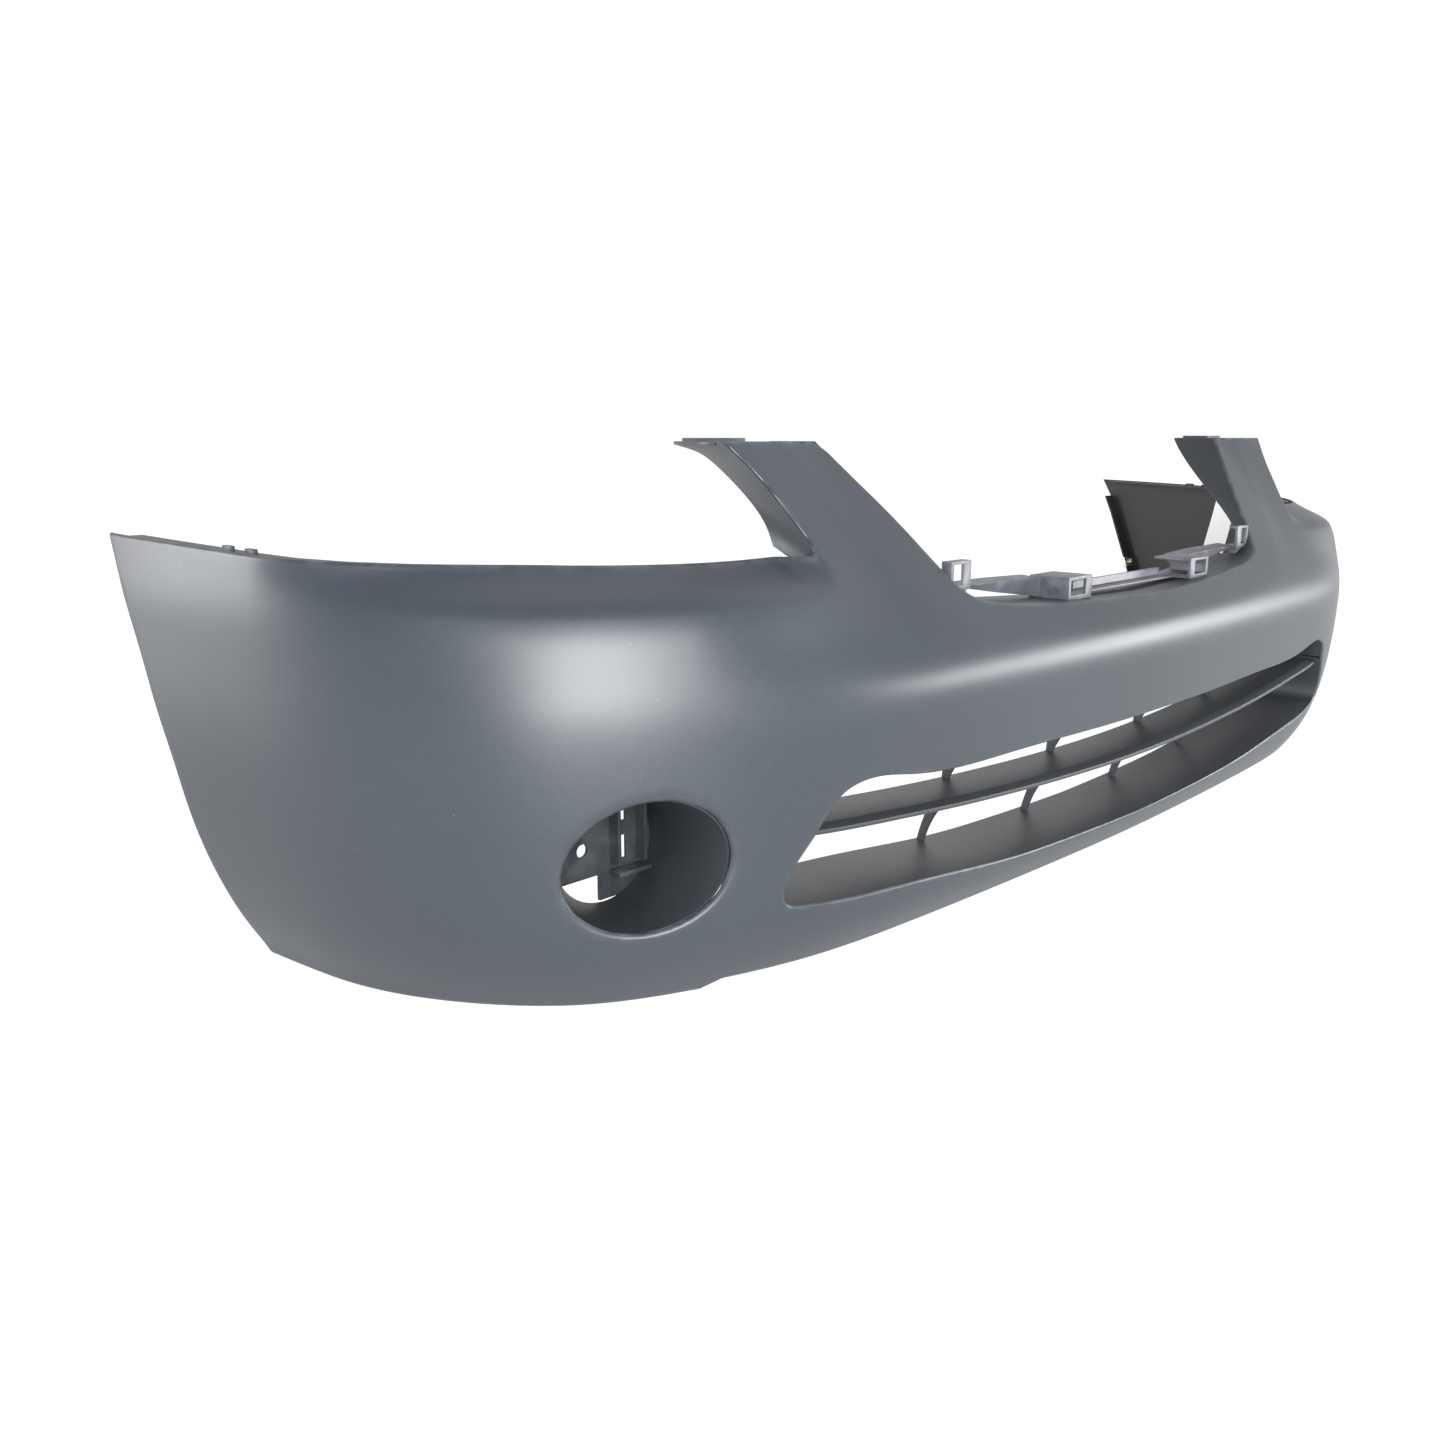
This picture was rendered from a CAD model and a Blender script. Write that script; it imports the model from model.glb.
import math

import bmesh
import bpy
import numpy as np
from mathutils import Matrix, Vector
from mathutils.geometry import delaunay_2d_cdt
from mathutils.kdtree import KDTree


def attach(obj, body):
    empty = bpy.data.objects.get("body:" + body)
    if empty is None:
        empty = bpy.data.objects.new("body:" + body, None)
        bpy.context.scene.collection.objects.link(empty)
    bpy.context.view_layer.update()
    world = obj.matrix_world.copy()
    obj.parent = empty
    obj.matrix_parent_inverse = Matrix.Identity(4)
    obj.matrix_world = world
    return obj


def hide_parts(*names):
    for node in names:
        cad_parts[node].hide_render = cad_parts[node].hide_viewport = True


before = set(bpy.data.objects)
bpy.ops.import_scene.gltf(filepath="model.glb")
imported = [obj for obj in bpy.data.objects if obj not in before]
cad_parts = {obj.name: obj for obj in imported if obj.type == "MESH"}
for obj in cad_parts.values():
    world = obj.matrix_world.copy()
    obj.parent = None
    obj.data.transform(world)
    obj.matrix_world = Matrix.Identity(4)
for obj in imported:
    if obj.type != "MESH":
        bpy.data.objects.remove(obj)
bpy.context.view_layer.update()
MM = 0.001

# ---- sizes of the cover, mm: the same values as the part's source -------------
WALL = 3.0
SEAT = 3.2
HORN_TOP = 445.0
WING_TIP_Y = 283.0

# Straight chin edge: its height over the floor, its half length, and how its ends run down.
CHIN_RISE = 9.0
CHIN_HALF = 600.0
CHIN_END_RUN = 22 / 14

# Plan of the skin, and how far it stands behind it: level, nose, corner, wing.
PLAN = [(0, -287), (200, -283), (400, -274), (540, -258), (660, -220), (750, -166),
        (812, -87), (850, 3), (871, 113), (884, 223), (888, 283), (889, 320)]
LEVELS = [(0, 56, 58, 45), (8, 50, 52, 42), (28, 36, 38, 33), (58, 24, 22, 22),
          (108, 20, 8, 10), (158, 13, 2, 3), (208, 4, 0, 0), (258, 4, 3, 0),
          (288, 28, 9, 0), (318, 53, 18, 0), (358, 82, 46, 3), (453, 152, 120, 10)]

# Outlines in front view (X, Z), one half.
GRILLE = [(0, 285), (98, 287), (240, 294), (298, 301), (322, 311), (338, 331), (367, 379),
          (391, 413), (413, HORN_TOP)]
RIDGE = [(489, 324), (491, 347), (497, 366), (509, 396), (521, 420), (540, HORN_TOP)]
INTAKE = [(0, 160), (120, 160), (290, 162), (440, 168), (500, 174), (526, 166), (552, 134),
          (575, 92), (572, 80), (555, 74), (500, 68), (425, 63), (256, 47), (165, 43), (0, 40)]
FOG_CENTRE = (687, 129)
FOG_RADII = (59, 55)

# Ledge under the headlamp, set back from the horn's ridge outwards.
LEDGE_SET = 28.0
LEDGE_TURN = 34.0
LEDGE_LEVELS = (324, 354)
RIDGE_FOOT = 350.4

# Rear and top edges of the wing in side view (Y, Z), and the headlamp return's rear edge.
WING_REAR = [(WING_TIP_Y, 368), (265, 334), (249, 297), (233, 258), (217, 218), (202, 180),
             (194, 146), (187, 113), (179, 83), (170, 53), (162, 28), (152, 0)]
FENDER_LINE = [(-230, 351), (-77, 356), (103, 363), (WING_TIP_Y, 368)]
LAMP_EDGE = [(492, -142, 358), (488, -130, 374), (487, -108, 396), (489, -80, 418),
             (494, -54, 435), (500, -31, 442)]

# Returns behind the openings, the intake's blade and fins, and the fog lamp pocket.
FLANGE = 2.5
SILL_DEPTH = 72.0
HORN_DEPTHS = (18.0, 58.0)
BLADE_DEPTH = 66.0
BLADE_LEVEL = 113.0
BLADE_RISE = 26.0
BLADE_HALF = 552.0
BLADE_SET = 10.0
SHELF_DEPTH = 96.0
SHELF_LIFT = 1.0
ROOF_DEPTH = 80.0
STRUT_X = (100, 288)
STRUT = 3.0
UPPER_FIN_FRONT = (8, 20, 38)
UPPER_FIN_REAR = (0.5, 2.5, 5)
LOWER_FIN_FRONT = (-19, -4, 26)
LOWER_FIN_REAR = (-27, -16, 1)
POCKET_BACK_Y = -128.0
POCKET_TAPER = 0.84
POCKET_SHIFT = 12

# ---- finish of the moulding, mm ------------------------------------------------
# Crease between the main face and the band that frames the grille opening (X, Z).
BAND = [(0, 262), (94, 263), (187, 265), (275, 271), (330, 279), (362, 293), (389, 314),
        (454, 419), (468, HORN_TOP)]
BAND_DEPTH = 4.0

# Radius to which each run of the skin's edge is rounded, and the rounds of its corners.
EDGE_ROLL = {"chin": 3.0, "foot": 3.0, "wing": 4.5, "fender": 2.5, "ridge": 2.0, "top": 1.5,
             "grille": 2.5, "intake": 2.8, "fog": 6.0}
LAMP_CORNER = 14.0
HORN_CORNER = 16.0

# Spacing of the skin's points along its edges and over its face, and its rows beside an edge.
EDGE_STEP = 4.0
SKIN_STEP = 5.5
EDGE_ROWS = (0.7, 1.6, 2.9, 4.4)
RIM_REACH = 9


# ---- curves and the skin's surface ---------------------------------------------
class Spline:
    """Natural cubic spline through values at knots."""

    def __init__(self, knots, values):
        self.x = np.asarray(knots, float)
        self.y = np.asarray(values, float)
        self.h = np.diff(self.x)
        self.slopes = np.diff(self.y) / self.h
        count = len(self.x)
        matrix = np.eye(count)
        right = np.zeros(count)
        for i in range(1, count - 1):
            matrix[i, i - 1:i + 2] = self.h[i - 1], 2 * (self.h[i - 1] + self.h[i]), self.h[i]
            right[i] = 6 * (self.slopes[i] - self.slopes[i - 1])
        self.bend = np.linalg.solve(matrix, right)

    def __call__(self, at):
        at = np.asarray(at, float)
        i = np.clip(np.searchsorted(self.x, at) - 1, 0, len(self.h) - 1)
        t = at - self.x[i]
        cubic = (self.bend[i + 1] - self.bend[i]) / (6 * self.h[i])
        linear = self.slopes[i] - self.h[i] * (2 * self.bend[i] + self.bend[i + 1]) / 6
        return self.y[i] + linear * t + self.bend[i] / 2 * t ** 2 + cubic * t ** 3


def chord_lengths(points):
    steps = np.linalg.norm(np.diff(np.asarray(points, float), axis=0), axis=1)
    return np.concatenate([[0], np.cumsum(steps)])


def curve_points(points, count):
    """Evenly spaced points on a smooth curve through points."""
    knots = chord_lengths(points)
    at = np.linspace(0, knots[-1], count)
    return np.column_stack([Spline(knots, column)(at) for column in zip(*points)])


def stepped(points, step):
    """The same path with points about one step apart."""
    points = np.asarray(points, float)
    knots = chord_lengths(points)
    at = np.linspace(0, knots[-1], max(2, int(round(knots[-1] / step)) + 1))
    return np.column_stack([np.interp(at, knots, points[:, k]) for k in range(points.shape[1])])


def ease(value, start, end):
    t = np.clip((np.asarray(value, float) - start) / (end - start), 0, 1)
    return t * t * (3 - 2 * t)


FULL_PLAN = [(-x, y) for x, y in reversed(PLAN[1:])] + PLAN
PLAN_KNOTS = chord_lengths(FULL_PLAN)
HALF_LENGTH = PLAN_KNOTS[-1] / 2
PLAN_X = Spline(PLAN_KNOTS - HALF_LENGTH, [p[0] for p in FULL_PLAN])
PLAN_Y = Spline(PLAN_KNOTS - HALF_LENGTH, [p[1] for p in FULL_PLAN])
NOSE_SET, CORNER_SET, WING_SET = (
    Spline([row[0] for row in LEVELS], [row[k] for row in LEVELS]) for k in (1, 2, 3))
FENDER_SPLINE = Spline([p[0] for p in FENDER_LINE], [p[1] for p in FENDER_LINE])
RIDGE_SPLINE = Spline([p[1] for p in RIDGE], [p[0] for p in RIDGE])


def ledge_set(x, z):
    """Set-back of the ledge under the headlamp, which starts at the horn's ridge."""
    outboard = np.abs(x) - RIDGE_SPLINE(np.maximum(z, RIDGE[0][1]))
    turn = (ease(outboard, 0, LEDGE_TURN) + np.clip(outboard / LEDGE_TURN, 0, 1)) / 2
    return LEDGE_SET * ease(z, *LEDGE_LEVELS) * turn


def skin_point(s, z, depth=0.0):
    """Points of the skin, s mm along the plan from the nose and depth mm behind its face."""
    s, z, depth = np.broadcast_arrays(np.asarray(s, float), z, depth)
    x, y = PLAN_X(s), PLAN_Y(s)
    tx = PLAN_X(s + 0.5) - PLAN_X(s - 0.5)
    ty = PLAN_Y(s + 0.5) - PLAN_Y(s - 0.5)
    size = np.hypot(tx, ty)
    to_corner = ease(np.abs(x), 420, 660)
    to_wing = ease(np.abs(s) / HALF_LENGTH, 0.60, 0.80)
    back = NOSE_SET(z) * (1 - to_corner) + CORNER_SET(z) * to_corner
    back = back * (1 - to_wing) + WING_SET(z) * to_wing
    back = back + ledge_set(x - ty / size * back, z) * (1 - to_wing) + depth
    return np.stack([x - ty / size * back, y + tx / size * back, z], axis=-1)


def solve(function, low, high):
    """Where increasing functions cross zero, all at once."""
    for _ in range(32):
        middle = (low + high) / 2
        under = function(middle) < 0
        low = np.where(under, middle, low)
        high = np.where(under, high, middle)
    return (low + high) / 2


def s_at_x(x, z):
    x, z = np.broadcast_arrays(np.asarray(x, float), np.asarray(z, float))
    size = np.abs(x)
    s = solve(lambda t: skin_point(t, z)[..., 0] - size, np.zeros_like(size),
              np.full_like(size, 0.62 * HALF_LENGTH))
    return np.copysign(s, x)


def s_at_y(y, z):
    y, z = np.broadcast_arrays(np.asarray(y, float), np.asarray(z, float))
    return solve(lambda t: skin_point(t, z)[..., 1] - y, np.full_like(y, 0.4 * HALF_LENGTH),
                 np.full_like(y, HALF_LENGTH))


def at_front(x, z, depth=0.0):
    """The skin's points that stand at x, z in front view."""
    x, z, depth = np.broadcast_arrays(np.asarray(x, float), z, depth)
    points = skin_point(s_at_x(x, z), z, depth)
    return np.stack([x, points[..., 1], z], axis=-1)


# ---- meshes ---------------------------------------------------------------------
def new_piece(name, vertices, faces):
    """Piece from points in mm, with smooth faces."""
    mesh = bpy.data.meshes.new(name)
    mesh.from_pydata((np.asarray(vertices, float) * MM).tolist(), [], faces)
    mesh.update()
    piece = bpy.data.objects.new(name, mesh)
    bpy.context.scene.collection.objects.link(piece)
    return piece


def settle(piece, angle=35):
    """Outward normals, and smooth shading with sharp edges kept."""
    bm = bmesh.new()
    bm.from_mesh(piece.data)
    bmesh.ops.remove_doubles(bm, verts=bm.verts, dist=1e-5)
    bmesh.ops.recalc_face_normals(bm, faces=bm.faces)
    bm.to_mesh(piece.data)
    bm.free()
    smooth(piece, angle)


def smooth(piece, angle=35):
    piece.data.polygons.foreach_set("use_smooth", [True] * len(piece.data.polygons))
    piece.data.set_sharp_from_angle(angle=math.radians(angle))


def set_values(piece, name, values):
    """Keeps one number for each vertex, for the materials to read."""
    attribute = piece.data.attributes.new(name, "FLOAT", "POINT")
    attribute.data.foreach_set("value", np.asarray(values, np.float32))


def rounded_ring(corners, radius):
    """Closed section with each corner cut round."""
    corners = np.asarray(corners, float)
    count = len(corners)
    ring = []
    for i in range(count):
        corner = corners[i]
        for other, order in ((corners[i - 1], 0), (corners[(i + 1) % count], 1)):
            way = other - corner
            length = np.linalg.norm(way)
            near = corner + way / length * min(radius, 0.45 * length)
            if order == 0:
                before = near
            else:
                ring += [before, (before + 2 * corner + near) / 4, near]
    return ring


def loft(name, sections, closed=False, radius=0.7):
    """Solid through sections that each have the same number of corners."""
    rings = [rounded_ring(section, radius) for section in sections]
    size = len(rings[0])
    faces = []
    last = len(rings) if closed else len(rings) - 1
    for i in range(last):
        a, b = i * size, (i + 1) % len(rings) * size
        for k in range(size):
            n = (k + 1) % size
            faces.append((a + k, a + n, b + n, b + k))
    if not closed:
        faces.append(tuple(range(size)))
        faces.append(tuple(range((len(rings) - 1) * size, len(rings) * size)))
    piece = new_piece(name, [point for ring in rings for point in ring], faces)
    settle(piece)
    return piece


def mirrored(piece, name):
    mesh = piece.data.copy()
    mesh.transform(Matrix.Scale(-1, 4, Vector((1, 0, 0))))
    mesh.flip_normals()
    other = bpy.data.objects.new(name, mesh)
    bpy.context.scene.collection.objects.link(other)
    return other


def finish_piece(piece, slot, *nodes, body="cover"):
    """Gives a piece its finish and puts it in place of its CAD nodes."""
    if not piece.data.materials:
        piece.data.materials.append(FINISHES[slot])
    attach(piece, body)
    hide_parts(*nodes)


# ---- outer skin -----------------------------------------------------------------
def front_run(points):
    """Front-view points as distances along the skin and levels."""
    points = np.asarray(points, float)
    return np.column_stack([s_at_x(points[:, 0], points[:, 1]), points[:, 1]])


def fender_run(first):
    """Top edge of the wing and of the part under the lamp, from the tip inwards."""
    tip = s_at_y(*FENDER_LINE[-1])
    s = np.linspace(tip, first, 220)
    z = np.full_like(s, 360.0)
    for _ in range(8):
        z = FENDER_SPLINE(np.maximum(skin_point(s, z)[:, 1], FENDER_LINE[0][0]))
    return np.column_stack([s, z])


def rounded_corner(before, after, radius):
    """Joins two runs that end and start at one corner with a round."""
    corner = before[-1]
    kept = before[np.linalg.norm(before - corner, axis=1) > radius]
    rest = after[np.linalg.norm(after - corner, axis=1) > radius]
    t = np.linspace(0, 1, 8)[1:-1, None]
    turn = (1 - t) ** 2 * kept[-1] + 2 * t * (1 - t) * corner + t ** 2 * rest[0]
    return np.vstack([kept, turn]), rest


def skin_runs():
    """Runs of the skin's edge on the left-hand half, in order from the chin's middle."""
    foot_x = CHIN_HALF + CHIN_END_RUN * CHIN_RISE
    chin = front_run([(x, CHIN_RISE) for x in np.linspace(0, CHIN_HALF, 90)] + [(foot_x, 0)])
    foot = np.array([(chin[-1, 0], 0), (s_at_y(*WING_REAR[-1]), 0)])
    rear = curve_points(WING_REAR, 160)[::-1]
    wing = np.column_stack([s_at_y(rear[:, 0], rear[:, 1]), rear[:, 1]])
    ridge = front_run([p for p in curve_points(RIDGE, 120) if p[1] > RIDGE_FOOT])
    fender = fender_run(ridge[0, 0])
    fender[-1] = ridge[0]
    fender, ridge = rounded_corner(fender, ridge, LAMP_CORNER)
    top = front_run([(x, HORN_TOP) for x in np.linspace(RIDGE[-1][0], GRILLE[-1][0], 20)])
    grille = front_run(curve_points(GRILLE, 160)[::-1])
    top, grille = rounded_corner(top, grille, HORN_CORNER)
    top = np.vstack([top, grille[:1]])
    names = ("chin", "foot", "wing", "fender", "ridge", "top", "grille")
    runs = (chin, foot, wing, fender, ridge, top, grille)
    return {name: stepped(run, EDGE_STEP) for name, run in zip(names, runs)}


def hole_loops():
    half = curve_points(INTAKE, 330)
    outline = np.vstack([half, (half * (-1, 1))[::-1][1:-1]])
    intake = stepped(front_run(np.vstack([outline, outline[:1]])), EDGE_STEP)[:-1]
    angles = np.linspace(0, 2 * math.pi, 97)[:-1]
    ring = np.column_stack([FOG_CENTRE[0] + FOG_RADII[0] * np.cos(angles),
                            FOG_CENTRE[1] + FOG_RADII[1] * np.sin(angles)])
    fog = front_run(ring)
    return [("intake", intake), ("fog", fog), ("fog", fog * (-1, 1))]


def tree_of(points):
    tree = KDTree(len(points))
    for i, (x, y) in enumerate(points):
        tree.insert((x, y, 0), i)
    tree.balance()
    return tree


def distances(points, line):
    """Distance from each point to the nearest point of a finely stepped line."""
    tree = tree_of(stepped(line, 0.8))
    return np.array([tree.find((x, y, 0))[2] for x, y in points])


def edge_rows(loop, outward):
    """Rows of points beside a closed loop, on its skin side."""
    along = np.roll(loop, -1, axis=0) - np.roll(loop, 1, axis=0)
    along /= np.linalg.norm(along, axis=1)[:, None]
    side = np.column_stack([-along[:, 1], along[:, 0]]) * (1 if outward else -1)
    rows = [loop + side * offset for offset in EDGE_ROWS]
    return np.vstack(rows), np.repeat(EDGE_ROWS, len(loop))


def signed_area(loop):
    x, y = loop[:, 0], loop[:, 1]
    return 0.5 * float(np.sum(x * np.roll(y, -1) - np.roll(x, -1) * y))


def skin_layout(runs, holes):
    """Flat layout of the skin: points (s, z) and triangles."""
    left = np.vstack([run[:-1] for run in runs.values()] + [runs["grille"][-1:]])
    right = (left * (-1, 1))[::-1][1:-1]
    loops = [np.vstack([left, right])] + [loop for _, loop in holes]
    border = np.vstack(loops)
    tree = tree_of(border)
    rows, offsets = [], []
    for i, loop in enumerate(loops):
        counter_clockwise = signed_area(loop) > 0
        points, away = edge_rows(loop, counter_clockwise == (i == 0))
        rows.append(points)
        offsets.append(away)
    rows, offsets = np.vstack(rows), np.concatenate(offsets)
    near = np.array([tree.find((x, y, 0))[2] for x, y in rows])
    rows = rows[near > 0.85 * offsets]
    step_z = SKIN_STEP * math.sqrt(3) / 2
    grid = []
    for k, z in enumerate(np.arange(0, HORN_TOP + 1, step_z)):
        start = -HALF_LENGTH + (k % 2) * SKIN_STEP / 2
        grid.append([(s, z) for s in np.arange(start, HALF_LENGTH, SKIN_STEP)])
    grid = np.vstack(grid)
    near = np.array([tree.find((x, y, 0))[2] for x, y in grid])
    grid = grid[near > EDGE_ROWS[-1] + 0.6 * SKIN_STEP]
    edges, first = [], 0
    for loop in loops:
        count = len(loop)
        edges += [(first + i, first + (i + 1) % count) for i in range(count)]
        first += count
    points = np.vstack([border, rows, grid])
    made = delaunay_2d_cdt([Vector(p) for p in points], edges, [], 2, 1e-4)
    layout = np.array([tuple(v) for v in made[0]])
    triangles = np.array([face for face in made[2] if len(face) == 3])
    corners = layout[triangles]
    ab, ac = corners[:, 1] - corners[:, 0], corners[:, 2] - corners[:, 0]
    turned = ab[:, 0] * ac[:, 1] - ab[:, 1] * ac[:, 0] < 0
    triangles[turned] = triangles[turned][:, ::-1]
    middles = layout[triangles].mean(axis=1)
    open_space = np.zeros(len(triangles), bool)
    for loop in loops[1:]:
        open_space |= inside(middles, loop)
    triangles = triangles[~open_space]
    used = np.unique(triangles)
    index = np.full(len(layout), -1)
    index[used] = np.arange(len(used))
    return layout[used], index[triangles]


def inside(points, polygon):
    """Which points lie inside a polygon."""
    x, y = points[:, 0], points[:, 1]
    odd = np.zeros(len(points), bool)
    for (x0, y0), (x1, y1) in zip(polygon, np.roll(polygon, -1, axis=0)):
        crosses = (y0 > y) != (y1 > y)
        with np.errstate(divide="ignore", invalid="ignore"):
            odd ^= crosses & (x < (x1 - x0) * (y - y0) / (y1 - y0) + x0)
    return odd


def band_depth(layout):
    """Set-back of the band that frames the grille opening."""
    front = skin_point(layout[:, 0], layout[:, 1])[:, (0, 2)]
    front[:, 0] = np.abs(front[:, 0])
    crease = curve_points(BAND, 80)
    opening = curve_points(GRILLE, 80)
    polygon = np.vstack([[(-5, BAND[0][1])], crease, opening[::-1], [(-5, GRILLE[0][1])]])
    ring = np.flatnonzero(inside(front, polygon))
    depth = np.zeros(len(layout))
    from_crease = distances(front[ring], crease)
    from_edge = distances(front[ring], opening)
    depth[ring] = BAND_DEPTH * from_crease / (from_crease + from_edge + 1e-6)
    over_edge = front[:, 1] - np.interp(front[:, 0], opening[:, 0], opening[:, 1]) > -0.4
    over_edge &= (front[:, 0] < GRILLE[-1][0] - 0.1) & (front[:, 1] > GRILLE[0][1] - 1)
    depth[over_edge] = BAND_DEPTH
    return depth


def roll_depth(layout, runs, holes):
    """Rounding of the skin's edges: its depth, and how near each point is to an edge."""
    depth = np.zeros(len(layout))
    nearest = np.full(len(layout), 1e3)
    lines = [(name, sign * np.array((1, 0)) * run + np.array((0, 1)) * run)
             for name, run in runs.items() for sign in (1, -1)]
    lines += [(name, np.vstack([loop, loop[:1]])) for name, loop in holes]
    for name, line in lines:
        radius = EDGE_ROLL[name]
        away = distances(layout, line)
        nearest = np.minimum(nearest, away)
        t = np.clip(1 - away / radius, 0, 1)
        depth = np.maximum(depth, radius * (1 - np.sqrt(1 - t ** 2)))
    return depth, nearest


def outer_skin():
    """The moulded skin as a closed wall, with the primed face outside and raw plastic inside."""
    runs, holes = skin_runs(), hole_loops()
    layout, triangles = skin_layout(runs, holes)
    band = band_depth(layout)
    roll, nearest = roll_depth(layout, runs, holes)
    outer = skin_point(layout[:, 0], layout[:, 1], band + roll)
    inner = skin_point(layout[:, 0], layout[:, 1], band + np.maximum(WALL, roll + 0.8))
    count = len(layout)
    sides = np.vstack([triangles[:, (0, 1)], triangles[:, (1, 2)], triangles[:, (2, 0)]])
    _, first, times = np.unique(np.sort(sides, axis=1), axis=0, return_index=True,
                                return_counts=True)
    rim = sides[first[times == 1]]
    faces = triangles.tolist() + [(a, b, b + count, a + count)[::-1] for a, b in rim.tolist()]
    faces += (triangles[:, ::-1] + count).tolist()
    piece = new_piece("cover_skin", np.vstack([outer, inner]), faces)
    finish = np.zeros(len(faces), np.int32)
    finish[len(triangles) + len(rim):] = 1
    piece.data.materials.append(FINISHES["primer"])
    piece.data.materials.append(FINISHES["raw_back"])
    piece.data.polygons.foreach_set("material_index", finish)
    set_values(piece, "rim", np.tile(np.clip(1 - nearest / RIM_REACH, 0, 1), 2))
    smooth(piece, 32)
    nodes = ["skin_lip", "skin_face", "skin_brow"]
    nodes += [f"skin_{part}_{side}" for part in ("horn", "corner", "wing")
              for side in ("left", "right")]
    finish_piece(piece, "primer", *nodes)


# ---- return flanges -------------------------------------------------------------
def flange_sections(outline, depths, front_depth, lift=0.0):
    """Sections of a flange that runs back from a front-view outline."""
    outline = np.asarray(outline, float)
    along = np.gradient(outline, axis=0)
    along /= np.linalg.norm(along, axis=1)[:, None]
    normal = np.column_stack([along[:, 1], -along[:, 0]])
    outer = outline + normal * FLANGE
    front = at_front(outline[:, 0], outline[:, 1], front_depth)[:, 1]
    outer_front = at_front(outer[:, 0], outer[:, 1], front_depth)[:, 1]
    back = at_front(outline[:, 0], outline[:, 1], SEAT)[:, 1] + depths
    rise = normal * lift
    sections = []
    for i, (x, z) in enumerate(outline):
        sections.append([(x, front[i], z), (outer[i, 0], outer_front[i], outer[i, 1]),
                         (outer[i, 0] - rise[i, 0], back[i], outer[i, 1] - rise[i, 1]),
                         (x - rise[i, 0], back[i], z - rise[i, 1])])
    return sections


def grille_return():
    half = curve_points(GRILLE, 110)
    outline = np.vstack([(half * (-1, 1))[::-1][:-1], half])
    foot, top = HORN_DEPTHS
    beside = foot + (top - foot) * ease(outline[:, 1], 320, HORN_TOP)
    depths = SILL_DEPTH + (beside - SILL_DEPTH) * ease(np.abs(outline[:, 0]), 270, 328)
    sections = flange_sections(outline, depths, BAND_DEPTH + EDGE_ROLL["grille"] + 0.1)
    finish_piece(loft("grille_return", sections), "moulded_grey", "grille_flange")


def intake_runs():
    """Upper run and lower run of the intake's outline."""
    half = curve_points(INTAKE, 260)
    split = int(np.argmax(half[:, 1] < 140))
    top = np.vstack([(half[:split] * (-1, 1))[::-1][:-1], half[:split]])
    low = np.vstack([half[split:] * (-1, 1), half[split:][::-1][1:]])
    return top[::-1], low


def intake_returns():
    top, low = intake_runs()
    front = EDGE_ROLL["intake"] + 0.1
    floor = loft("intake_floor", flange_sections(low, SHELF_DEPTH, front, SHELF_LIFT))
    finish_piece(floor, "moulded_grey", "intake_shelf")
    roof = loft("intake_ceiling", flange_sections(top, ROOF_DEPTH, front))
    finish_piece(roof, "moulded_grey", "intake_roof")


def blade_level(x):
    return BLADE_LEVEL + BLADE_RISE * (x / BLADE_HALF) ** 2


def intake_vane():
    x = np.linspace(-BLADE_HALF, BLADE_HALF, 180)
    z = blade_level(x)
    y = at_front(x, z, BLADE_SET)[:, 1]
    sections = []
    for a, b, c in zip(x, y, z):
        back = b + BLADE_DEPTH
        sections.append([(a, b, c - 6), (a, b, c - 2), (a, b + 9, c + 1.5), (a, back, c + 1.5),
                         (a, back, c - 1.5), (a, b + 6, c - 2.5)])
    finish_piece(loft("intake_vane", sections), "moulded_grey", "intake_blade")


def headlamp_returns():
    line = curve_points(RIDGE, 40)
    front = at_front(line[:, 0], line[:, 1], WALL)
    rear = curve_points(LAMP_EDGE, 40)
    thickness = np.array((-FLANGE, 0, -1))
    sections = [[a, b, b + thickness, a + thickness] for a, b in zip(front, rear)]
    left = loft("lamp_return_left", sections)
    right = mirrored(left, "lamp_return_right")
    finish_piece(left, "primer", "headlamp_return_left")
    finish_piece(right, "primer", "headlamp_return_right")


def fog_pockets():
    cx, cz = FOG_CENTRE
    rx, rz = FOG_RADII
    angles = np.linspace(0, 2 * math.pi, 97)[:-1]
    c, s = np.cos(angles), np.sin(angles)
    front = at_front(cx + rx * c, cz + rz * s, EDGE_ROLL["fog"] + 0.4)
    sections = []
    for i in range(len(angles)):
        out = np.array((c[i], 0, s[i])) * FLANGE
        back = np.array((cx - POCKET_SHIFT + rx * POCKET_TAPER * c[i], POCKET_BACK_Y,
                         cz + rz * POCKET_TAPER * s[i]))
        sections.append([front[i], front[i] + out, back + out, back])
    left = loft("fog_cone_left", sections, closed=True, radius=0.5)
    depth = np.array([v.co.y / MM for v in left.data.vertices])
    set_values(left, "mouth", ease(depth, -150, -215))
    right = mirrored(left, "fog_cone_right")
    finish_piece(left, "moulded_black", "fog_pocket_left")
    finish_piece(right, "moulded_black", "fog_pocket_right")


# ---- fins of the intake, by rule --------------------------------------------------
def fin_edge(depths, t):
    """Smooth edge through the depths at foot, waist and top."""
    foot, waist, top = depths
    bend = 2 * (foot + top - 2 * waist)
    return -(foot + (top - foot - bend) * t + bend * t ** 2)


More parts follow.
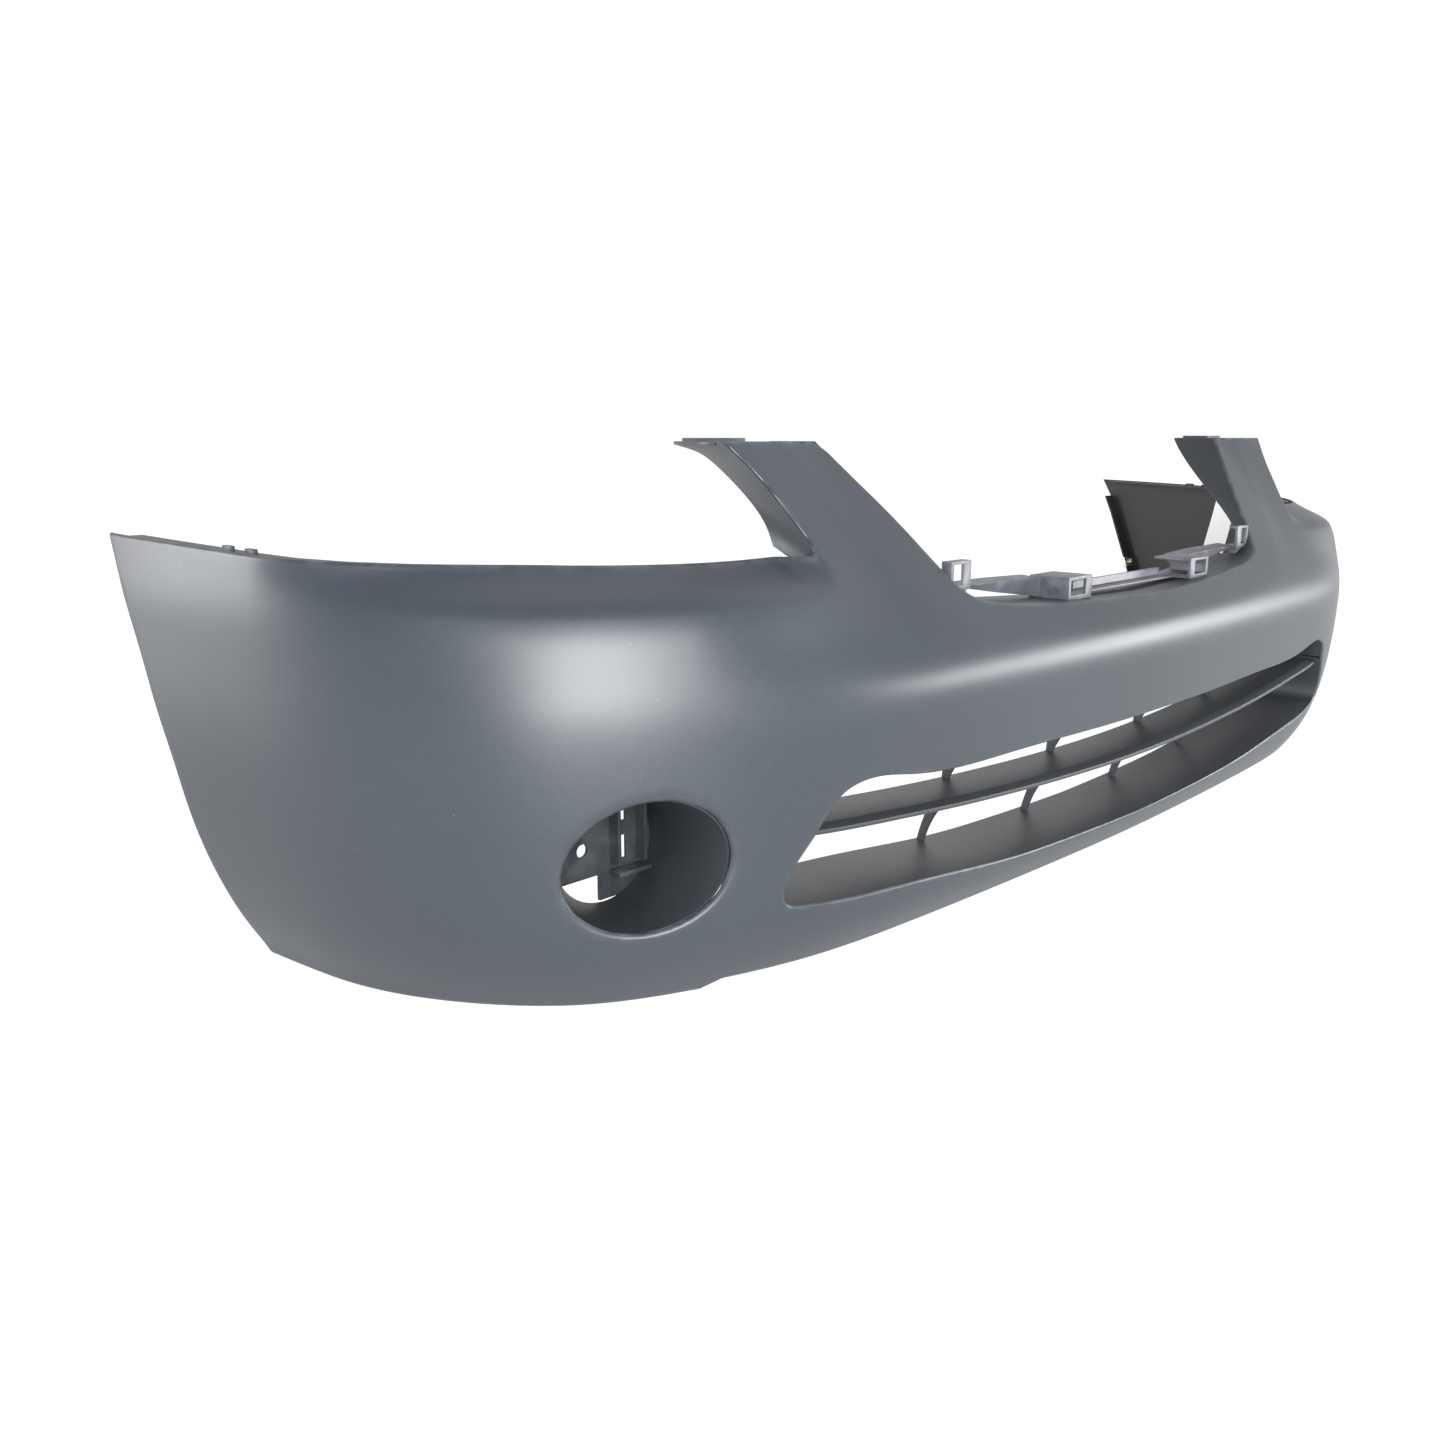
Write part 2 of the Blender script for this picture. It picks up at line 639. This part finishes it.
def fin_shape(name, front_edge, rear_edge):
    """One fin, 1 m high at a scale of one."""
    t = np.linspace(0, 1, 17)
    front = [(y, 1000 * k) for y, k in zip(fin_edge(front_edge, t), t)]
    rear = [(y, 1000 * k) for y, k in zip(fin_edge(rear_edge, t), t)]
    outline = front + rear[::-1]
    count = len(outline)
    vertices = [(side * STRUT / 2, y, z) for side in (-1, 1) for y, z in outline]
    last = len(front)
    flat = [(i, i + 1, count - 2 - i, count - 1 - i) for i in range(last - 1)]
    faces = flat + [tuple(count + k for k in face) for face in flat]
    faces += [(i, (i + 1) % count, count + (i + 1) % count, count + i) for i in range(count)]
    piece = new_piece(name, vertices, faces)
    settle(piece, 30)
    return piece


def fin_places(upper):
    """Foot of each fin of a row and its height, in mm."""
    outline = curve_points(INTAKE, 400)
    places = []
    for x in STRUT_X:
        level = float(blade_level(x))
        back = float(at_front(x, level, BLADE_SET)[1]) + BLADE_DEPTH
        near = outline[np.argsort(np.abs(outline[:, 0] - x))[:12]]
        roof, floor = near[:, 1].max(), near[:, 1].min() + SHELF_LIFT
        foot, head = (level + 1.2, roof) if upper else (floor, level - 1.8)
        places += [(side * x, back, foot, head - foot) for side in (-1, 1)]
    return places


def fin_tree():
    """Stands a fin on each foot, as high as the foot's own height says."""
    tree = bpy.data.node_groups.new("fins_on_feet", "GeometryNodeTree")
    face = tree.interface
    face.new_socket("Geometry", in_out="INPUT", socket_type="NodeSocketGeometry")
    face.new_socket("Fin", in_out="INPUT", socket_type="NodeSocketObject")
    face.new_socket("Thickness Scale", in_out="INPUT", socket_type="NodeSocketFloat")
    face.new_socket("Finish", in_out="INPUT", socket_type="NodeSocketMaterial")
    face.new_socket("Geometry", in_out="OUTPUT", socket_type="NodeSocketGeometry")
    nodes, links = tree.nodes, tree.links
    inputs = nodes.new("NodeGroupInput")
    result = nodes.new("NodeGroupOutput")
    fin = nodes.new("GeometryNodeObjectInfo")
    height = nodes.new("GeometryNodeInputNamedAttribute")
    height.data_type = "FLOAT"
    height.inputs["Name"].default_value = "height"
    size = nodes.new("ShaderNodeCombineXYZ")
    size.inputs["Y"].default_value = 1.0
    points = nodes.new("GeometryNodeMeshToPoints")
    instances = nodes.new("GeometryNodeInstanceOnPoints")
    real = nodes.new("GeometryNodeRealizeInstances")
    finish = nodes.new("GeometryNodeSetMaterial")
    links.new(inputs.outputs["Geometry"], points.inputs["Mesh"])
    links.new(points.outputs["Points"], instances.inputs["Points"])
    links.new(inputs.outputs["Fin"], fin.inputs["Object"])
    links.new(fin.outputs["Geometry"], instances.inputs["Instance"])
    links.new(inputs.outputs["Thickness Scale"], size.inputs["X"])
    links.new(height.outputs["Attribute"], size.inputs["Z"])
    links.new(size.outputs["Vector"], instances.inputs["Scale"])
    links.new(instances.outputs["Instances"], real.inputs["Geometry"])
    links.new(real.outputs["Geometry"], finish.inputs["Geometry"])
    links.new(inputs.outputs["Finish"], finish.inputs["Material"])
    links.new(finish.outputs["Geometry"], result.inputs["Geometry"])
    return tree


def socket_id(tree, name):
    return next(item.identifier for item in tree.interface.items_tree
                if item.name == name and item.in_out == "INPUT")


def fin_row(tree, name, upper, front_edge, rear_edge):
    """One row of fins, as a single piece in place of its four CAD nodes."""
    shape = fin_shape("fin_shape", front_edge, rear_edge)
    places = fin_places(upper)
    feet = new_piece("fin_feet", [place[:3] for place in places], [])
    set_values(feet, "height", [place[3] * MM for place in places])
    modifier = feet.modifiers.new("fins", "NODES")
    modifier.node_group = tree
    modifier[socket_id(tree, "Fin")] = shape
    modifier[socket_id(tree, "Thickness Scale")] = 1.0
    modifier[socket_id(tree, "Finish")] = FINISHES["moulded_grey"]
    bpy.context.view_layer.update()
    made = feet.evaluated_get(bpy.context.evaluated_depsgraph_get())
    mesh = bpy.data.meshes.new_from_object(made)
    fins = bpy.data.objects.new(name, mesh)
    bpy.context.scene.collection.objects.link(fins)
    bpy.data.objects.remove(feet)
    bpy.data.objects.remove(shape)
    level = "upper" if upper else "lower"
    nodes = [f"{level}_strut_{place}_{side}" for place in ("inner", "outer")
             for side in ("left", "right")]
    finish_piece(fins, "moulded_grey", *nodes)


def intake_fins():
    tree = fin_tree()
    fin_row(tree, "upper_fins", True, UPPER_FIN_FRONT, UPPER_FIN_REAR)
    fin_row(tree, "lower_fins", False, LOWER_FIN_FRONT, LOWER_FIN_REAR)


# ---- small moulded pieces with softened edges ---------------------------------------
def softened(node, name, slot, width, body="cover"):
    """A CAD piece with its edges rounded, as they come from a mould."""
    bm = bmesh.new()
    bm.from_mesh(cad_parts[node].data)
    layer = bm.verts.layers.float.new("rim")
    bmesh.ops.remove_doubles(bm, verts=bm.verts, dist=2e-5)
    bmesh.ops.dissolve_limit(bm, angle_limit=math.radians(1.5), verts=bm.verts, edges=bm.edges)
    corners = [edge for edge in bm.edges
               if len(edge.link_faces) == 2 and edge.calc_face_angle(0) > math.radians(42)]
    made = bmesh.ops.bevel(bm, geom=corners, offset=width * MM, segments=2, profile=0.5,
                           affect="EDGES", clamp_overlap=True)
    for vertex in made["verts"]:
        vertex[layer] = 0.8
    bmesh.ops.triangulate(bm, faces=[face for face in bm.faces if len(face.verts) > 4])
    mesh = bpy.data.meshes.new(name)
    bm.to_mesh(mesh)
    bm.free()
    piece = bpy.data.objects.new(name, mesh)
    bpy.context.scene.collection.objects.link(piece)
    smooth(piece, 30)
    finish_piece(piece, slot, node, body=body)


def small_pieces():
    softened("grille_centre_rail", "clip_rail", "bracket_grey", 0.6)
    softened("chin_flange", "chin_return", "moulded_black", 0.4)
    for side in ("left", "right"):
        softened(f"grille_bracket_{side}", f"clip_bracket_{side}", "bracket_grey", 0.8)
        softened(f"horn_tab_{side}", f"horn_step_{side}", "primer", 0.7)
        softened(f"fender_rail_{side}", f"wing_ledge_{side}", "moulded_black", 0.5)
        softened(f"arch_flange_{side}", f"arch_return_{side}", "moulded_black", 0.5)
        softened(f"arch_nuts_{side}", f"spring_nuts_{side}", "zinc_steel", 0.2)
        softened(f"fog_bracket_{side}", f"lamp_carrier_{side}", "moulded_black", 0.5)
        for place in ("inner", "outer"):
            part = f"{place}_{side}"
            softened(f"retainer_{part}", f"push_collar_{part}", "black_nylon", 0.3)
            softened(f"retainer_pin_{part}", f"push_pin_{part}", "black_nylon", 0.3,
                     body=f"retainer_pin_{part}")
    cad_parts["stock_label"].data.materials.clear()
    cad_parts["stock_label"].data.materials.append(FINISHES["label_paper"])


# ---- shared surface effects ---------------------------------------------------------
def new_group(name, inputs, outputs):
    """Shader node group with named sockets, its input node and its output node."""
    tree = bpy.data.node_groups.new(name, "ShaderNodeTree")
    for label, kind, value in inputs:
        socket = tree.interface.new_socket(label, in_out="INPUT", socket_type=kind)
        if value is not None:
            socket.default_value = value
    for label, kind in outputs:
        tree.interface.new_socket(label, in_out="OUTPUT", socket_type=kind)
    return tree, tree.nodes.new("NodeGroupInput"), tree.nodes.new("NodeGroupOutput")


def noise(tree, position, scale, detail, rough=0.5):
    node = tree.nodes.new("ShaderNodeTexNoise")
    node.inputs["Detail"].default_value = detail
    node.inputs["Roughness"].default_value = rough
    tree.links.new(position, node.inputs["Vector"])
    if isinstance(scale, (int, float)):
        node.inputs["Scale"].default_value = scale
    else:
        tree.links.new(scale, node.inputs["Scale"])
    return node.outputs["Fac"]


def spread(tree, value, low, high, start=0.0, end=1.0):
    node = tree.nodes.new("ShaderNodeMapRange")
    node.inputs["From Min"].default_value = low
    node.inputs["From Max"].default_value = high
    node.inputs["To Min"].default_value = start
    node.inputs["To Max"].default_value = end
    tree.links.new(value, node.inputs["Value"])
    return node.outputs["Result"]


def combine(tree, kind, first, second):
    node = tree.nodes.new("ShaderNodeMath")
    node.operation = kind
    for socket, value in zip(node.inputs, (first, second)):
        if isinstance(value, (int, float)):
            socket.default_value = value
        else:
            tree.links.new(value, socket)
    return node.outputs["Value"]


def tone_drift():
    """Slow change of tone over a sprayed or moulded face, with a fine mottle."""
    tree, given, made = new_group(
        "tone_drift", [("Position", "NodeSocketVector", None), ("Patch Scale", "NodeSocketFloat", 3.0),
                       ("Mottle Scale", "NodeSocketFloat", 260.0)],
        [("Tone", "NodeSocketFloat")])
    patch = noise(tree, given.outputs["Position"], given.outputs["Patch Scale"], 2)
    mottle = noise(tree, given.outputs["Position"], given.outputs["Mottle Scale"], 3)
    both = combine(tree, "ADD", combine(tree, "MULTIPLY", patch, 0.65),
                   combine(tree, "MULTIPLY", mottle, 0.35))
    tree.links.new(spread(tree, both, 0.3, 0.7), made.inputs["Tone"])
    return tree


def face_grain():
    """Height of a spray's orange peel or a mould's grain, with a finer grit on it."""
    tree, given, made = new_group(
        "face_grain", [("Position", "NodeSocketVector", None), ("Grain Scale", "NodeSocketFloat", 500.0),
                       ("Grit", "NodeSocketFloat", 0.4)],
        [("Height", "NodeSocketFloat")])
    peel = noise(tree, given.outputs["Position"], given.outputs["Grain Scale"], 2)
    fine = combine(tree, "MULTIPLY", given.outputs["Grain Scale"], 4.0)
    grit = noise(tree, given.outputs["Position"], fine, 2)
    both = combine(tree, "ADD", peel, combine(tree, "MULTIPLY", grit, given.outputs["Grit"]))
    tree.links.new(both, made.inputs["Height"])
    return tree


def handling_marks():
    """Rubbed edges, dust nibs and faint scuffs."""
    tree, given, made = new_group(
        "handling_marks", [("Position", "NodeSocketVector", None), ("Rim", "NodeSocketFloat", 0.0),
                           ("Amount", "NodeSocketFloat", 0.5)],
        [("Rub", "NodeSocketFloat"), ("Specks", "NodeSocketFloat")])
    patchy = spread(tree, noise(tree, given.outputs["Position"], 55.0, 4), 0.42, 0.66)
    rim = combine(tree, "POWER", given.outputs["Rim"], 3.0)
    rub = combine(tree, "MULTIPLY", combine(tree, "MULTIPLY", rim, patchy), given.outputs["Amount"])
    cells = tree.nodes.new("ShaderNodeTexVoronoi")
    cells.inputs["Scale"].default_value = 48.0
    tree.links.new(given.outputs["Position"], cells.inputs["Vector"])
    dots = spread(tree, cells.outputs["Distance"], 0.055, 0.035)
    rare = spread(tree, noise(tree, given.outputs["Position"], 9.0, 2), 0.56, 0.62)
    tree.links.new(rub, made.inputs["Rub"])
    tree.links.new(combine(tree, "MULTIPLY", dots, rare), made.inputs["Specks"])
    return tree


GROUPS = {"tone": tone_drift(), "grain": face_grain(), "marks": handling_marks()}


def place_group(tree, key, **values):
    node = tree.nodes.new("ShaderNodeGroup")
    node.node_tree = GROUPS[key]
    for name, value in values.items():
        label = name.replace("_", " ")
        if isinstance(value, (int, float)):
            node.inputs[label].default_value = value
        else:
            tree.links.new(value, node.inputs[label])
    return node


def mix(tree, factor, first, second):
    """Colour that goes from the first to the second as the factor rises."""
    node = tree.nodes.new("ShaderNodeMix")
    node.data_type = "RGBA"
    tree.links.new(factor, node.inputs["Factor"])
    for socket, colour in ((node.inputs["A"], first), (node.inputs["B"], second)):
        if isinstance(colour, tuple):
            socket.default_value = (*colour, 1)
        else:
            tree.links.new(colour, socket)
    return node.outputs["Result"]


def plastic(name, dark, light, roughness, grain, height, rub=0.4, overspray=None, specular=0.5,
            metallic=0.0):
    """Sprayed or moulded finish, with drifting tone, grain and rubbed edges."""
    material = bpy.data.materials.new(name)
    material.use_nodes = True
    tree = material.node_tree
    shader = tree.nodes["Principled BSDF"]
    position = tree.nodes.new("ShaderNodeTexCoord").outputs["Object"]
    rim = tree.nodes.new("ShaderNodeAttribute")
    rim.attribute_name = "rim"
    tone = place_group(tree, "tone", Position=position, Patch_Scale=3.0, Mottle_Scale=240.0)
    marks = place_group(tree, "marks", Position=position, Rim=rim.outputs["Fac"], Amount=rub)
    colour = mix(tree, tone.outputs["Tone"], dark, light)
    if overspray:
        mouth = tree.nodes.new("ShaderNodeAttribute")
        mouth.attribute_name = "mouth"
        colour = mix(tree, mouth.outputs["Fac"], colour, overspray)
    pale = tuple(min(1.0, c * 2.2 + 0.05) for c in light)
    colour = mix(tree, marks.outputs["Rub"], colour, pale)
    colour = mix(tree, combine(tree, "MULTIPLY", marks.outputs["Specks"], 0.35), colour, pale)
    tree.links.new(colour, shader.inputs["Base Color"])
    low, high = roughness
    tree.links.new(spread(tree, tone.outputs["Tone"], 0, 1, low, high), shader.inputs["Roughness"])
    shader.inputs["Specular IOR Level"].default_value = specular
    shader.inputs["Metallic"].default_value = metallic
    grain_node = place_group(tree, "grain", Position=position, Grain_Scale=grain, Grit=0.45)
    bump = tree.nodes.new("ShaderNodeBump")
    bump.inputs["Strength"].default_value = height
    bump.inputs["Distance"].default_value = 0.0003
    tree.links.new(grain_node.outputs["Height"], bump.inputs["Height"])
    tree.links.new(bump.outputs["Normal"], shader.inputs["Normal"])
    return material


FINISHES = {
    "primer": plastic("primer", (0.019, 0.024, 0.031), (0.026, 0.032, 0.040), (0.38, 0.44),
                      420.0, 0.10, rub=0.35),
    "raw_back": plastic("raw_back", (0.012, 0.012, 0.013), (0.020, 0.020, 0.021), (0.48, 0.62),
                        160.0, 0.35, rub=0.1),
    "moulded_grey": plastic("moulded_grey", (0.016, 0.018, 0.021), (0.024, 0.027, 0.031),
                            (0.42, 0.52), 300.0, 0.2, rub=0.4),
    "bracket_grey": plastic("bracket_grey", (0.045, 0.048, 0.060), (0.062, 0.066, 0.080),
                            (0.40, 0.50), 340.0, 0.2, rub=0.5),
    "moulded_black": plastic("moulded_black", (0.007, 0.009, 0.011), (0.013, 0.015, 0.018),
                             (0.42, 0.55), 300.0, 0.25, rub=0.3, overspray=(0.014, 0.018, 0.022)),
    "black_nylon": plastic("black_nylon", (0.010, 0.010, 0.011), (0.018, 0.018, 0.019),
                           (0.34, 0.46), 520.0, 0.15, rub=0.4),
    "zinc_steel": plastic("zinc_steel", (0.48, 0.47, 0.43), (0.62, 0.61, 0.57), (0.30, 0.42),
                          700.0, 0.1, rub=0.3, metallic=1.0),
    "label_paper": plastic("label_paper", (0.80, 0.80, 0.78), (0.88, 0.88, 0.86), (0.55, 0.68),
                           900.0, 0.15, rub=0.0),
}


# ---- stage, light and camera ----------------------------------------------------------
BACKDROP_WAY = (0.712, 0.702, 0.0)
BACKDROP = 1.02
ROOM = 0.10
BACKDROP_FADE = (-0.45, 0.55)
FLOOR_SIZE = 30.0
FLOOR_TONE = 0.10
FLOOR_GLOW = 0.97

# Soft boxes: name, place, point aimed at, width, height (m) and power (W).
SOFT_BOXES = [
    ("main_softbox", (-1.95, -2.30, 0.90), (-0.725, -0.18, 0.27), 2.3, 1.2, 230),
    ("wing_strip", (-2.5, 2.0, 0.75), (-0.87, 0.10, 0.24), 0.35, 1.3, 45),
    ("nose_softbox", (2.3, -2.0, 0.6), (0.35, -0.26, 0.22), 1.7, 1.0, 75),
]

# The camera stands low, off the right-hand corner.
CAMERA_PLACE = (-1.288, -0.867, 0.453)
CAMERA_RIGHT = (0.7024, -0.7118, 0.0)
CAMERA_UP = (0.1611, 0.1590, 0.9740)
CAMERA_AHEAD = (0.6933, 0.6841, -0.2263)
LENS = 31.14
SENSOR = 36.0


def aimed(location, target):
    way = Vector(target) - Vector(location)
    return Matrix.Translation(location) @ way.to_track_quat("-Z", "Y").to_matrix().to_4x4()


def soft_light(name, location, target, width, height, watts):
    light = bpy.data.lights.new(name, "AREA")
    light.shape = "RECTANGLE"
    light.size = width
    light.size_y = height
    light.energy = watts
    holder = bpy.data.objects.new(name, light)
    holder.matrix_world = aimed(location, target)
    bpy.context.scene.collection.objects.link(holder)


def floor():
    size = FLOOR_SIZE
    mesh = bpy.data.meshes.new("floor")
    mesh.from_pydata([(-size, -size, 0), (size, -size, 0), (size, size, 0), (-size, size, 0)], [],
                     [(0, 1, 2, 3)])
    plane = bpy.data.objects.new("floor", mesh)
    bpy.context.scene.collection.objects.link(plane)
    material = bpy.data.materials.new("pale_floor")
    material.use_nodes = True
    shader = material.node_tree.nodes["Principled BSDF"]
    shader.inputs["Base Color"].default_value = (FLOOR_TONE, FLOOR_TONE, FLOOR_TONE, 1)
    shader.inputs["Roughness"].default_value = 0.9
    shader.inputs["Emission Color"].default_value = (1, 1, 1, 1)
    shader.inputs["Emission Strength"].default_value = FLOOR_GLOW
    mesh.materials.append(material)


def studio():
    """White backdrop behind the cover, a dimmer room before it, and three soft boxes."""
    world = bpy.data.worlds.new("studio")
    world.use_nodes = True
    tree = world.node_tree
    direction = tree.nodes.new("ShaderNodeTexCoord").outputs["Generated"]
    facing = tree.nodes.new("ShaderNodeVectorMath")
    facing.operation = "DOT_PRODUCT"
    facing.inputs[1].default_value = BACKDROP_WAY
    tree.links.new(direction, facing.inputs[0])
    strength = spread(tree, facing.outputs["Value"], *BACKDROP_FADE, ROOM, BACKDROP)
    tree.links.new(strength, tree.nodes["Background"].inputs["Strength"])
    tree.nodes["Background"].inputs["Color"].default_value = (1, 1, 1, 1)
    bpy.context.scene.world = world
    bpy.context.scene.view_settings.view_transform = "Standard"
    for soft_box in SOFT_BOXES:
        soft_light(*soft_box)
    floor()


def camera():
    data = bpy.data.cameras.new("camera")
    data.lens = LENS
    data.sensor_width = SENSOR
    data.clip_end = 100.0
    holder = bpy.data.objects.new("camera", data)
    axes = Matrix((CAMERA_RIGHT, CAMERA_UP, -Vector(CAMERA_AHEAD)))
    holder.matrix_world = Matrix.Translation(CAMERA_PLACE) @ axes.transposed().to_4x4()
    bpy.context.scene.collection.objects.link(holder)
    bpy.context.scene.camera = holder


outer_skin()
grille_return()
intake_returns()
intake_vane()
headlamp_returns()
fog_pockets()
intake_fins()
small_pieces()
studio()
camera()
